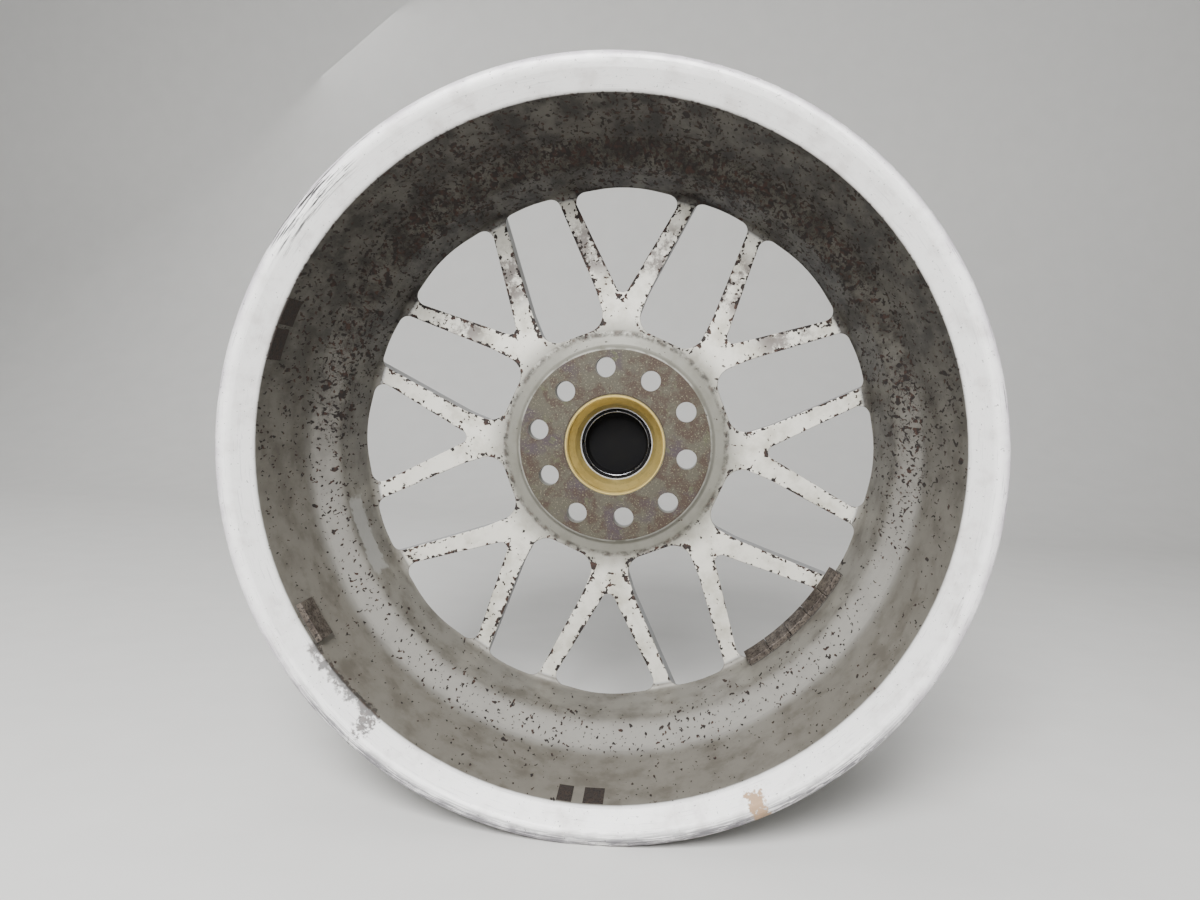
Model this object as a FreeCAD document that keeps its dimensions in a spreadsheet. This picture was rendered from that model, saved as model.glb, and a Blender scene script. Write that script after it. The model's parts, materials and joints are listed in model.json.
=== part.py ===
import FreeCAD, Part
import math
import os

import Sketcher

from FreeCAD import Placement, Rotation, Vector

# A forged one-piece racing wheel, 18 x 7.5 J, with eight Y-shaped spokes.
# Frame: the wheel's axis is Y, +Y towards the car's outer side, +Z up, and
# the origin is on the axis at the middle of the rim's width.
# Lengths are in millimetres and angles in degrees. An angle round the wheel
# is counted from +X towards +Z.

SIZES = {
    # rim, tyre side
    "bead_width": 190.5,
    "bead_radius": 231.0,
    "flange_width": 11.25,
    "flange_height": 17.3,
    "flange_lip": 5.5,
    "flange_slope": 4.0,
    "flange_bend": 6.0,
    "flange_round": 4.4,
    "flange_edge": 0.8,
    "flange_top_bend": 3.0,
    "seat_width": 19.8,
    "seat_drop": 1.7,
    "seat_round": 1.0,
    "hump_width": 7.0,
    "hump_round": 3.0,
    "ledge_wall": 5.5,
    "ledge_start": 42.0,
    "ledge_end": 82.0,
    "ledge_round": 4.0,
    "ledge_bend": 6.0,
    "well_start": 104.0,
    "well_depth": 23.5,
    "well_end": 54.0,
    "well_round": 8.0,
    "seat_shoulder": 39.0,
    "shoulder_round": 4.0,
    # rim, inner side
    "lip_flat": 8.3,
    "lip_depth": 12.0,
    "lip_wall": 5.0,
    "lip_round": 8.0,
    "lip_wall_round": 6.0,
    "hump_drop": 1.0,
    "inner_ledge_wall": 15.5,
    "inner_ledge_end": 84.0,
    "inner_well_wall": 28.8,
    "inner_well_start": 105.0,
    "disc_root_wall": 36.2,
    "wall_bend": 12.0,
    "outer_lip_depth": 11.0,
    "outer_lip_wall": 6.0,
    "outer_lip_round": 5.0,
    "outer_lip_bend": 4.0,
    "face_edge_wall": 13.0,
    "face_edge_round": 2.0,
    # disc and hub
    "offset": 35.0,
    "pad_height": 8.5,
    "pad_radius": 73.4,
    "pad_round": 1.4,
    "pad_step": 3.0,
    "skirt_radius": 86.5,
    "skirt_round": 6.0,
    "hub_depth": 39.5,
    "hub_front_radius": 84.0,
    "hub_front_round": 6.0,
    "face_depth": 45.5,
    "spoke_count": 8,
    "root_fillet": 6.0,
    # spoke windows, at the plane of the spokes' backs
    "window_back_margin": 0.8,
    "window_wall_angle": 24.0,
    "window_draft": 2.4,
    "window_corner": 8.0,
    "window_crown": 0.5,
    "fork_radius": 111.5,
    "fork_angle": 28.5,
    "fork_corner": 5.0,
    "gap_inner": 88.2,
    "gap_inner_half": 24.8,
    "gap_inner_corner": 14.0,
    "gap_waist": 118.0,
    "gap_waist_half": 26.2,
    "gap_waist_corner": 30.0,
    "gap_side_angle": 3.4,
    "cut_margin": 12.0,
    "spoke_front_round": 1.6,
    "spoke_back_break": 0.6,
    # wheel bolts
    "bolt_count": 5,
    "bolt_hole_radius": 7.75,
    "bolt_seat_depth": 14.0,
    "bolt_seat_radius": 12.4,
    "bolt_seat_angle": 30.0,
    "bolt_pocket_radius": 13.5,
    "large_circle": 120.0,
    "large_circle_angle": 99.4,
    "small_circle": 112.0,
    "small_circle_angle": 63.4,
    # centring ring in the hub
    "ring_radius": 38.5,
    "ring_length": 22.0,
    "ring_bore": 36.3,
    "ring_bore_length": 6.5,
    "ring_cone_radius": 31.6,
    "ring_cone_length": 13.5,
    "ring_end_radius": 28.4,
    "clip_wire": 0.6,
    "clip_station": 15.0,
    "edge_break": 1.0,
    "ring_bore_round": 2.0,
    "ring_cone_round": 3.0,
    "ring_end_land": 1.0,
    # centre cap
    "cap_skirt_radius": 27.55,
    "cap_skirt_wall": 2.3,
    "cap_flange_radius": 34.0,
    "cap_flange_gap": 0.3,
    "cap_flange_depth": 5.0,
    "cap_plate": 2.2,
    "cap_slots": 8,
    "cap_slot_width": 3.0,
    "cap_slot_length": 7.0,
    "cap_wire": 0.8,
    "cap_wire_station": 2.0,
    "cap_disc_radius": 30.5,
    "cap_disc_depth": 1.4,
    "cap_disc_rise": 0.3,
    "cap_disc_dome": 1.2,
    "cap_rim_height": 1.0,
    "cap_rim_round": 1.5,
    "cut_past": 2.0,
    "fine_round": 0.4,
    "small_round": 0.6,
    # tyre valve
    "valve_angle": 315.0,
    "valve_tilt": 34.5,
    "valve_radius": 218.9,
    "valve_station": 44.9,
    "valve_wall": 6.0,
    "valve_hole": 5.75,
    "valve_spot": 9.7,
    "valve_head_spot": 9.6,
    "valve_head": 8.2,
    "valve_head_depth": 2.4,
    "grommet_depth": 2.0,
    "grommet_sleeve": 5.0,
    "stem_shank": 4.2,
    "stem_neck": 3.85,
    "stem_shoulder": 12.0,
    "stem_end": 27.0,
    "stem_bore": 2.1,
    "washer_depth": 1.0,
    "nut_corner": 6.35,
    "nut_depth": 4.4,
    "core_start": 14.0,
    "core_end": 25.4,
    "core_bore": 1.5,
    "core_seal_depth": 1.0,
    "core_guide": 2.0,
    "core_round": 0.2,
    "pin_radius": 0.6,
    "pin_start": 11.5,
    "pin_end": 26.4,
    "pin_travel": 1.6,
    "pin_collar": 1.4,
    "collar_depth": 0.6,
    "collar_gap": 1.2,
    "spring_wire": 0.15,
    "spring_pitch": 1.4,
    "spring_foot_gap": 0.4,
    "spring_head_gap": 0.1,
    "valve_cap_radius": 4.8,
    "valve_cap_start": 18.0,
    "valve_cap_end": 29.6,
    "valve_cap_roof": 1.2,
    "valve_cap_seal": 1.0,
    "valve_cap_ribs": 16,
    "valve_cap_groove": 0.5,
    "valve_cap_groove_width": 0.8,
    "valve_cap_round": 1.2,
    "grip_margin": 2.0,
    # balance weights
    "weight_depth": 4.0,
    "weight_count": 5,
    "weight_gap": 0.7,
    "weight_round": 1.2,
    "weight_start_angle": 304.6,
    "weight_sweep": 5.75,
    "strip_start": 15.0,
    "strip_edge_gap": 1.3,
    "strip_edge_wall": 39.6,
    "tape_depth": 0.9,
    "block_width": 16.0,
    "block_angle": 208.8,
    "block_sweep": 7.3,
    "block_station": 15.0,
    # old tape left on the rim
    "old_tape_depth": 0.5,
    # clearances
    "running_gap": 0.05,
    "seat_gap": 0.1,
    "glue_gap": 0.02,
}

# Old tape: name, first angle, sweep, distance from the inner end, width
OLD_TAPE = [
    ("old_tape_left_upper", 155.9, 4.6, 13.5, 17.0),
    ("old_tape_left_lower", 161.2, 5.4, 13.5, 15.0),
    ("old_tape_bottom_left", 265.1, 2.5, 14.0, 18.0),
    ("old_tape_bottom_right", 269.5, 3.4, 14.0, 18.0),
]

FULL_TURN = 360.0
HEX_SIDES = 6
WIRE_SIDES = 12
TINY = 1e-6
# Places along an edge where it is tested, how near it must lie, in mm, and
# how far inside the windows' inner ends the search begins
EDGE_SAMPLES = (0.1, 0.3, 0.5, 0.7, 0.9)
EDGE_REACH = 0.02
EDGE_MARGIN = 4.0
FUNCTIONS = ("sin", "cos", "tan", "sqrt")


def make_sheet(document):
    """The driving dimensions, one cell with an alias for each."""
    sheet = document.addObject("Spreadsheet::Sheet", "Sizes")
    for row, (name, value) in enumerate(SIZES.items(), start=1):
        sheet.set("A%d" % row, name)
        sheet.set("B%d" % row, str(value))
        sheet.setAlias("B%d" % row, name)
    document.recompute()
    return sheet


doc = FreeCAD.newDocument("racing_wheel")
sizes = make_sheet(doc)

# Formulas for places that several pieces share
INNER_END = "( 0 - bead_width / 2 - flange_width )"
OUTER_END = "( bead_width / 2 + flange_width )"
SPOKE_BACK = "( offset + pad_height )"
HUB_FRONT = "( offset + hub_depth )"
FACE = "( offset + face_depth )"
RIM_RADIUS = "( bead_radius + flange_height )"
RING_END = "( offset + ring_length )"
CAP_SEAT = "( %s - cap_flange_depth )" % HUB_FRONT
WALL_LIP = "( bead_radius - lip_wall )"
WALL_LEDGE = "( bead_radius - inner_ledge_wall )"
WALL_WELL = "( bead_radius - inner_well_wall )"
WALL_ROOT = "( bead_radius - disc_root_wall )"
SHARP = "0"


def size(name):
    return float(sizes.get(name))


def bound(text):
    """Turn the size names in a formula into references to the sheet."""
    words = text.replace("(", " ( ").replace(")", " ) ").split()
    formula = " ".join("Sizes." + word if word in SIZES else word for word in words)
    for function in FUNCTIONS:
        formula = formula.replace(function + " (", function + "(")
    return formula


def evaluate(text):
    value = sizes.evalExpression(bound(text))
    return float(getattr(value, "Value", value))


# ---- sketches and features that the pieces share ----

def new_body(label):
    body = doc.addObject("PartDesign::Body", label)
    body.Label = label
    return body


def origin_feature(body, role):
    return next(item for item in body.Origin.OriginFeatures if item.Role == role)


def new_sketch(body, name, role="XY_Plane"):
    sketch = body.newObject("Sketcher::SketchObject", name)
    sketch.AttachmentSupport = (origin_feature(body, role), [""])
    sketch.MapMode = "FlatFace"
    sketch.Visibility = False
    return sketch


def hold(sketch, limits):
    """Add constraints; those that come with a formula follow the sheet."""
    indices = sketch.addConstraint([limit for limit, _ in limits])
    for index, (_, text) in zip(indices, limits):
        if text:
            sketch.setExpression("Constraints[%d]" % index, bound(text))


def point_limits(element, end, x_text, y_text):
    """Hold one point of a sketch at a place given by two formulas."""
    return [
        (Sketcher.Constraint("DistanceX", -1, 1, element, end, evaluate(x_text)), x_text),
        (Sketcher.Constraint("DistanceY", -1, 1, element, end, evaluate(y_text)), y_text),
    ]


def radius_limit(element, text):
    return Sketcher.Constraint("Radius", element, evaluate(text)), text


def round_corner(before, corner, after, radius):
    """Where a corner's arc starts, its middle and where it ends."""
    back = (before - corner).normalize()
    ahead = (after - corner).normalize()
    half = back.getAngle(ahead) / 2
    reach = radius / math.tan(half)
    centre = corner + (back + ahead).normalize() * (radius / math.sin(half))
    middle = centre + (corner - centre).normalize() * radius
    return corner + back * reach, middle, corner + ahead * reach


def arc_ends(sketch, arc, start):
    """Which of an arc's two ends lies at the given point."""
    gaps = [sketch.getPoint(arc, end).distanceToPoint(start) for end in (1, 2)]
    return (1, 2) if gaps[0] < gaps[1] else (2, 1)


def outline(sketch, corners):
    """A closed outline of straight sides with rounded or sharp corners.

    Each corner is (x formula, y formula, radius formula). The sheet holds
    the corners, and every arc is tangent to its two sides.
    """
    points = [Vector(evaluate(x), evaluate(y), 0) for x, y, _ in corners]
    radii = [evaluate(radius) for _, _, radius in corners]
    count = len(corners)
    bends = []
    for index, corner in enumerate(points):
        if radii[index] > TINY:
            after = points[(index + 1) % count]
            bends.append(round_corner(points[index - 1], corner, after, radii[index]))
        else:
            bends.append((corner, corner, corner))
    sides = []
    for index, bend in enumerate(bends):
        side = Part.LineSegment(bend[2], bends[(index + 1) % count][0])
        sides.append(sketch.addGeometry(side, False))
    limits = []
    for index, (x_text, y_text, radius_text) in enumerate(corners):
        before, after = sides[index - 1], sides[index]
        if radii[index] <= TINY:
            limits.append((Sketcher.Constraint("Coincident", before, 2, after, 1), None))
            limits += point_limits(after, 1, x_text, y_text)
            continue
        arc = sketch.addGeometry(Part.Arc(*bends[index]), False)
        first, last = arc_ends(sketch, arc, bends[index][0])
        corner = sketch.addGeometry(Part.Point(points[index]), True)
        limits += [
            (Sketcher.Constraint("Tangent", before, 2, arc, first), None),
            (Sketcher.Constraint("Tangent", after, 1, arc, last), None),
            (Sketcher.Constraint("PointOnObject", corner, 1, before), None),
            (Sketcher.Constraint("PointOnObject", corner, 1, after), None),
            radius_limit(arc, radius_text),
        ]
        limits += point_limits(corner, 1, x_text, y_text)
    hold(sketch, limits)


def circle(sketch, radius_text):
    """A circle about the sketch's origin."""
    ring = Part.Circle(Vector(0, 0, 0), Vector(0, 0, 1), evaluate(radius_text))
    element = sketch.addGeometry(ring, False)
    centred = Sketcher.Constraint("Coincident", element, 3, -1, 1)
    hold(sketch, [(centred, None), radius_limit(element, radius_text)])


def turn(body, sketch, angle="360", kind="Revolution"):
    """Turn a section about the sketch's upright axis, adding or cutting."""
    feature = body.newObject("PartDesign::" + kind, sketch.Name + "_turned")
    feature.Profile = sketch
    feature.ReferenceAxis = (sketch, ["V_Axis"])
    feature.setExpression("Angle", bound(angle))
    return feature


def turned_piece(label, corners, angle="360"):
    """A body turned from one section: x is the radius, y is along the axis."""
    body = new_body(label)
    sketch = new_sketch(body, label + "_section")
    outline(sketch, corners)
    turn(body, sketch, angle)
    return body


def ring_corners(inner, outer, low, high, corner=SHARP):
    return [(inner, low, corner), (outer, low, corner), (outer, high, corner), (inner, high, corner)]


def repeat_round(body, features, count, name):
    """Repeat features round the body's Y axis."""
    pattern = body.newObject("PartDesign::PolarPattern", name)
    pattern.Originals = features
    pattern.Axis = (origin_feature(body, "Y_Axis"), [""])
    pattern.Angle = FULL_TURN
    pattern.setExpression("Occurrences", bound(count))
    body.Tip = pattern
    return pattern


def wire_ring(label, radius_text, wire_text, station_text):
    """A closed ring of round wire about the Y axis."""
    ring = doc.addObject("Part::Torus", label)
    ring.Label = label
    ring.setExpression("Radius1", bound(radius_text))
    ring.setExpression("Radius2", bound(wire_text))
    ring.Placement = Placement(Vector(0, evaluate(station_text), 0), Rotation(Vector(1, 0, 0), 90))
    return ring


# ---- wheel ----

def rim_corners():
    """Section of the whole forging, round the rim, the face and the back."""
    tyre_side = [
        (RIM_RADIUS, INNER_END, "flange_round"),
        (RIM_RADIUS, INNER_END + " + flange_lip", "flange_edge"),
        (RIM_RADIUS + " - flange_slope", INNER_END + " + flange_width", "flange_top_bend"),
        ("bead_radius", INNER_END + " + flange_width", "flange_bend"),
        ("bead_radius - seat_drop", INNER_END + " + flange_width + seat_width", "seat_round"),
        ("bead_radius", INNER_END + " + flange_width + seat_width + hump_width / 2", "hump_round"),
        (WALL_LIP + " + hump_drop", INNER_END + " + ledge_start", "ledge_round"),
        (WALL_LEDGE + " + ledge_wall", INNER_END + " + ledge_end", "ledge_bend"),
        ("bead_radius - well_depth", INNER_END + " + well_start", "well_round"),
        ("bead_radius - well_depth", OUTER_END + " - well_end", "well_round"),
        ("bead_radius - seat_drop", OUTER_END + " - seat_shoulder", "shoulder_round"),
        ("bead_radius", OUTER_END + " - flange_width - seat_width - hump_width / 2", "hump_round"),
        ("bead_radius - seat_drop", OUTER_END + " - flange_width - seat_width", "seat_round"),
        ("bead_radius", OUTER_END + " - flange_width", "flange_bend"),
        (RIM_RADIUS + " - flange_slope", OUTER_END + " - flange_width", "flange_top_bend"),
        (RIM_RADIUS, OUTER_END + " - flange_lip", "flange_edge"),
        (RIM_RADIUS, OUTER_END, "flange_round"),
    ]
    face_side = [
        (RIM_RADIUS + " - lip_flat", OUTER_END, "outer_lip_round"),
        ("bead_radius - outer_lip_wall", OUTER_END + " - outer_lip_depth", "outer_lip_bend"),
        ("bead_radius - face_edge_wall", FACE, "face_edge_round"),
        ("hub_front_radius", HUB_FRONT, "hub_front_round"),
        ("cap_flange_radius + cap_flange_gap", HUB_FRONT, "edge_break"),
        ("cap_flange_radius + cap_flange_gap", CAP_SEAT, SHARP),
        ("cap_skirt_radius + running_gap", CAP_SEAT, SHARP),
        ("cap_skirt_radius + running_gap", RING_END + " + seat_gap", SHARP),
        ("ring_radius + running_gap", RING_END + " + seat_gap", SHARP),
    ]
    back_side = [
        ("ring_radius + running_gap", "offset + edge_break", SHARP),
        ("ring_radius + running_gap + edge_break", "offset", SHARP),
        ("pad_radius", "offset", "pad_round"),
        ("pad_radius + pad_step", "offset + pad_height / 2", "pad_step"),
        ("skirt_radius", SPOKE_BACK, "skirt_round"),
        (WALL_ROOT, SPOKE_BACK, "root_fillet"),
        (WALL_WELL, INNER_END + " + inner_well_start", "wall_bend"),
        (WALL_LEDGE, INNER_END + " + inner_ledge_end", "wall_bend"),
        (WALL_LIP, INNER_END + " + lip_depth", "lip_wall_round"),
        (RIM_RADIUS + " - lip_flat", INNER_END, "lip_round"),
    ]
    return tyre_side + face_side + back_side


def meets_circle(x_text, y_text, angle_text, radius_text):
    """Where a line from a point, leaning from the Y axis, meets a circle."""
    along = "( ( %s ) * sin ( %s ) + ( %s ) * cos ( %s ) )" % (x_text, angle_text, y_text, angle_text)
    across = "( ( %s ) * cos ( %s ) - ( %s ) * sin ( %s ) )" % (x_text, angle_text, y_text, angle_text)
    reach = "( sqrt ( ( %s ) ^ 2 - %s ^ 2 ) - %s )" % (radius_text, across, along)
    return (
        "( ( %s ) + %s * sin ( %s ) )" % (x_text, reach, angle_text),
        "( ( %s ) + %s * cos ( %s ) )" % (y_text, reach, angle_text),
    )


def window_radius(depth):
    """Radius of a window's outer wall, at a distance in front of the spokes' backs."""
    return "( %s - window_back_margin + ( %s ) * tan ( window_wall_angle * 1 deg ) )" % (WALL_ROOT, depth)


def window_spread(depth):
    """How far a window's sides stand back at that distance, for the draft."""
    return "( ( %s ) * tan ( window_draft * 1 deg ) )" % depth


def window_outline(sketch, apex, right, side, depth):
    """Mirror a window's right side and close it with an arched outer edge."""
    radius = window_radius(depth)
    corner = "window_corner + " + window_spread(depth)
    right = right + [(side[0], side[1], corner)]
    crown = [("0", "%s ^ 2 / %s" % (radius, side[1]), "%s * window_crown" % radius)]
    left = [("0 - ( %s )" % x, y, bend) for x, y, bend in reversed(right)]
    outline(sketch, apex + right + crown + left)


def fork_window(sketch, depth):
    """The window inside a Y: its point is at the fork."""
    spread = window_spread(depth)
    tip = "( fork_radius - %s / sin ( fork_angle * 1 deg ) )" % spread
    side = meets_circle("0", tip, "fork_angle * 1 deg", window_radius(depth))
    window_outline(sketch, [("0", tip, "fork_corner + " + spread)], [], side, depth)


def gap_window(sketch, depth):
    """The window between two Ys: broad and round at its hub end."""
    spread = window_spread(depth)
    waist = "( gap_waist_half + %s )" % spread
    side = meets_circle(waist, "gap_waist", "( 0 - gap_side_angle ) * 1 deg", window_radius(depth))
    right = [
        ("( gap_inner_half + %s )" % spread, "( gap_inner - %s )" % spread, "gap_inner_corner + " + spread),
        (waist, "gap_waist", "gap_waist_corner"),
    ]
    window_outline(sketch, [], right, side, depth)


def window_cut(body, name, draw, heading):
    """One window, lofted between its outlines behind and in front of the disc."""
    depths = ("( 0 - cut_margin )", "( face_depth - pad_height + cut_margin / 2 )")
    sketches = []
    for end, depth in zip(("back", "front"), depths):
        sketch = new_sketch(body, name + "_" + end, "XZ_Plane")
        sketch.AttachmentOffset = Placement(Vector(0, 0, 0), Rotation(Vector(0, 0, 1), heading))
        sketch.setExpression("AttachmentOffset.Base.z", bound("0 - %s - %s" % (SPOKE_BACK, depth)))
        draw(sketch, depth)
        sketches.append(sketch)
    doc.recompute()
    loft = body.newObject("PartDesign::SubtractiveLoft", name)
    loft.Profile = sketches[0]
    loft.Sections = [sketches[1]]
    loft.Ruled = True
    return loft


def bolt_hole(body, name, pitch_circle, angle):
    """A bolt's shank hole, its conical seat and the pocket for its head."""
    sketch = new_sketch(body, name)
    for axis, function in (("x", "cos"), ("z", "sin")):
        place = "%s / 2 * %s ( %s * 1 deg )" % (pitch_circle, function, angle)
        sketch.setExpression("AttachmentOffset.Base." + axis, bound(place))
    seat = "offset + bolt_seat_depth"
    cone = "( bolt_seat_radius - bolt_hole_radius ) / tan ( bolt_seat_angle * 1 deg )"
    outline(sketch, [
        ("0", "offset - cut_margin", SHARP),
        ("bolt_hole_radius", "offset - cut_margin", SHARP),
        ("bolt_hole_radius", seat, SHARP),
        ("bolt_seat_radius", seat + " + " + cone, SHARP),
        ("bolt_pocket_radius", seat + " + " + cone, SHARP),
        ("bolt_pocket_radius", FACE, SHARP),
        ("0", FACE, SHARP),
    ])
    return turn(body, sketch, kind="Groove")


def valve_place():
    """Where the valve's own Y axis goes: from the tyre's side out to the face."""
    round_axle = about_axle(size("valve_angle"))
    lean = Rotation(Vector(0, 0, 1), size("valve_tilt"))
    seat = Vector(size("valve_radius"), evaluate(OUTER_END + " - valve_station"), 0)
    return Placement(round_axle.multVec(seat), round_axle.multiply(lean))


def about_axle(angle):
    """The turn that brings +X to an angle round the wheel."""
    return Rotation(Vector(0, 1, 0), 0 - angle)


def valve_hole(body):
    """Spot faces on both sides of the wall and the hole between them."""
    sketch = new_sketch(body, "valve_hole")
    sketch.AttachmentOffset = valve_place()
    outline(sketch, [
        ("0", "0 - cut_margin", SHARP),
        ("valve_head_spot", "0 - cut_margin", SHARP),
        ("valve_head_spot", "0", SHARP),
        ("valve_hole", "0", SHARP),
        ("valve_hole", "valve_wall", SHARP),
        ("valve_spot", "valve_wall", SHARP),
        ("valve_spot", "valve_cap_end", SHARP),
        ("0", "valve_cap_end", SHARP),
    ])
    return turn(body, sketch, kind="Groove")


def front_height(radius):
    """Where the disc's sloping front lies, at a radius."""
    near, far = size("hub_front_radius"), evaluate("bead_radius - face_edge_wall")
    share = (radius - near) / (far - near)
    return evaluate(HUB_FRONT) + share * (evaluate(FACE) - evaluate(HUB_FRONT))


def back_height(radius):
    """Where the spokes' flat backs lie, at any radius."""
    return evaluate(SPOKE_BACK)


def window_edges(shape, height_at):
    """Names of the windows' edges on one side of the disc."""
    inner_limit = size("gap_inner") - EDGE_MARGIN
    outer_limit = evaluate("bead_radius - face_edge_wall - face_edge_round")
    names = []
    for number, edge in enumerate(shape.Edges, start=1):
        if len(shape.ancestorsOfType(edge, Part.Face)) < 2:
            continue
        span = edge.LastParameter - edge.FirstParameter
        points = [edge.valueAt(edge.FirstParameter + span * share) for share in EDGE_SAMPLES]
        radii = [math.hypot(point.x, point.z) for point in points]
        flat = all(abs(point.y - height_at(radius)) < EDGE_REACH for point, radius in zip(points, radii))
        between = inner_limit < min(radii) and max(radii) < outer_limit
        if flat and between and not edge.isClosed():
            names.append("Edge%d" % number)
    return names


def make_wheel():
    body = new_body("wheel")
    section = new_sketch(body, "forging_section")
    outline(section, rim_corners())
    turn(body, section)
    doc.recompute()
    half_pitch = FULL_TURN / 2 / size("spoke_count")
    windows = [
        window_cut(body, "fork_window", fork_window, 0),
        window_cut(body, "gap_window", gap_window, half_pitch),
    ]
    pattern = repeat_round(body, windows, "spoke_count", "all_windows")
    doc.recompute()
    rounding = body.newObject("PartDesign::Fillet", "spoke_front_rounding")
    rounding.Base = (pattern, window_edges(pattern.Shape, front_height))
    rounding.setExpression("Radius", bound("spoke_front_round"))
    doc.recompute()
    breaking = body.newObject("PartDesign::Fillet", "spoke_back_rounding")
    breaking.Base = (rounding, window_edges(rounding.Shape, back_height))
    breaking.setExpression("Radius", bound("spoke_back_break"))
    doc.recompute()
    for pitch_circle in ("large_circle", "small_circle"):
        hole = bolt_hole(body, pitch_circle + "_hole", pitch_circle, pitch_circle + "_angle")
        repeat_round(body, [hole], "bolt_count", pitch_circle + "_holes")
        doc.recompute()
    valve_hole(body)
    return body


# ---- centring ring and centre cap ----

def make_hub_ring():
    """Gold ring that centres the wheel: a short bore and then a funnel."""
    clip_low = "( offset + clip_station - clip_wire - running_gap )"
    clip_high = "( offset + clip_station + clip_wire + running_gap )"
    clip_floor = "( ring_radius - 2 * clip_wire - 2 * running_gap )"
    return turned_piece("hub_ring", [
        ("ring_bore + edge_break", "offset", SHARP),
        ("ring_radius - edge_break / 2", "offset", SHARP),
        ("ring_radius", "offset + edge_break / 2", SHARP),
        ("ring_radius", clip_low, SHARP),
        (clip_floor, clip_low, SHARP),
        (clip_floor, clip_high, SHARP),
        ("ring_radius", clip_high, SHARP),
        ("ring_radius", RING_END, SHARP),
        ("ring_end_radius", RING_END, SHARP),
        ("ring_end_radius", RING_END + " - ring_end_land", SHARP),
        ("ring_cone_radius", "offset + ring_cone_length", "ring_cone_round"),
        ("ring_bore", "offset + ring_bore_length", "ring_bore_round"),
        ("ring_bore", "offset + edge_break", SHARP),
    ])


def make_hub_ring_clip():
    radius = "ring_radius - clip_wire - running_gap / 2"
    return wire_ring("hub_ring_clip", radius, "clip_wire", "offset + clip_station")


def skirt_end():
    return "( %s + 2 * seat_gap )" % RING_END


def make_cap_body():
    """Black cap: a plate, a shallow dish for the disc and a slotted skirt."""
    inner = "( cap_skirt_radius - cap_skirt_wall )"
    wire_low = "( %s + cap_wire_station - cap_wire )" % skirt_end()
    wire_high = "( %s + cap_wire_station + cap_wire )" % skirt_end()
    plate_back = "( %s + seat_gap + cap_plate )" % CAP_SEAT
    body = turned_piece("cap_body", [
        ("0", plate_back, SHARP),
        ("( cap_skirt_radius - 2 * cap_skirt_wall )", plate_back, "cap_rim_height"),
        (inner, "( %s - cap_plate )" % CAP_SEAT, SHARP),
        (inner, wire_high, SHARP),
        (inner + " + cap_wire", wire_high, SHARP),
        (inner + " + cap_wire", wire_low, SHARP),
        (inner, wire_low, SHARP),
        (inner, skirt_end(), "fine_round"),
        ("cap_skirt_radius", skirt_end(), "small_round"),
        ("cap_skirt_radius", "( %s + seat_gap )" % CAP_SEAT, SHARP),
        ("cap_flange_radius", "( %s + seat_gap )" % CAP_SEAT, "small_round"),
        ("cap_flange_radius", "( %s + cap_rim_height )" % HUB_FRONT, "cap_rim_round"),
        ("cap_disc_radius + running_gap", "( %s + cap_rim_height )" % HUB_FRONT, "fine_round"),
        ("cap_disc_radius + running_gap", "( %s - cap_disc_depth )" % HUB_FRONT, SHARP),
        ("0", "( %s - cap_disc_depth )" % HUB_FRONT, SHARP),
    ])
    slot = new_sketch(body, "skirt_slot")
    outline(slot, ring_corners(inner + " - cut_past", "cap_skirt_radius + cut_past",
                               "%s - cut_past" % skirt_end(), "%s + cap_slot_length" % skirt_end()))
    doc.recompute()
    cut = body.newObject("PartDesign::Pocket", "skirt_slot_cut")
    cut.Profile = slot
    cut.SideType = "Symmetric"
    cut.setExpression("Length", bound("cap_slot_width"))
    repeat_round(body, [cut], "cap_slots", "skirt_slots")
    return body


def make_cap_spring_ring():
    """Wire ring that presses the skirt's fingers against the bore."""
    radius = "cap_skirt_radius - cap_skirt_wall - running_gap"
    return wire_ring("cap_spring_ring", radius, "cap_wire - running_gap",
                     "%s + cap_wire_station" % skirt_end())


def make_cap_disc():
    return turned_piece("cap_disc", [
        ("0", "( %s - cap_disc_depth + glue_gap )" % HUB_FRONT, SHARP),
        ("cap_disc_radius", "( %s - cap_disc_depth + glue_gap )" % HUB_FRONT, SHARP),
        ("cap_disc_radius", "( %s + cap_disc_rise )" % HUB_FRONT, "small_round"),
        ("0", "( %s + cap_disc_dome )" % HUB_FRONT, SHARP),
    ])


# ---- tyre valve ----

def make_valve_stem():
    """Metal stem with a head inside the tyre and a bore for the core."""
    return turned_piece("valve_stem", [
        ("stem_bore", "0 - grommet_depth - valve_head_depth", SHARP),
        ("valve_head", "0 - grommet_depth - valve_head_depth", "small_round"),
        ("valve_head", "0 - grommet_depth", SHARP),
        ("stem_shank", "0 - grommet_depth", SHARP),
        ("stem_shank", "stem_shoulder", "fine_round"),
        ("stem_neck", "stem_shoulder", SHARP),
        ("stem_neck", "stem_end", "fine_round"),
        ("stem_bore", "stem_end", SHARP),
    ])


def make_valve_grommet():
    """Rubber seal under the head, with a sleeve in the wheel's hole."""
    bore = "stem_shank + glue_gap"
    return turned_piece("valve_grommet", [
        (bore, "0 - grommet_depth + glue_gap", SHARP),
        ("valve_head", "0 - grommet_depth + glue_gap", "fine_round"),
        ("valve_head", "0 - glue_gap", SHARP),
        ("valve_hole - running_gap", "0 - glue_gap", SHARP),
        ("valve_hole - running_gap", "grommet_sleeve", "fine_round"),
        (bore, "grommet_sleeve", SHARP),
    ])


def make_valve_washer():
    low = "valve_wall + glue_gap"
    return turned_piece("valve_washer", ring_corners(
        "stem_shank + running_gap", "valve_head", low, low + " + washer_depth"))


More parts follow.
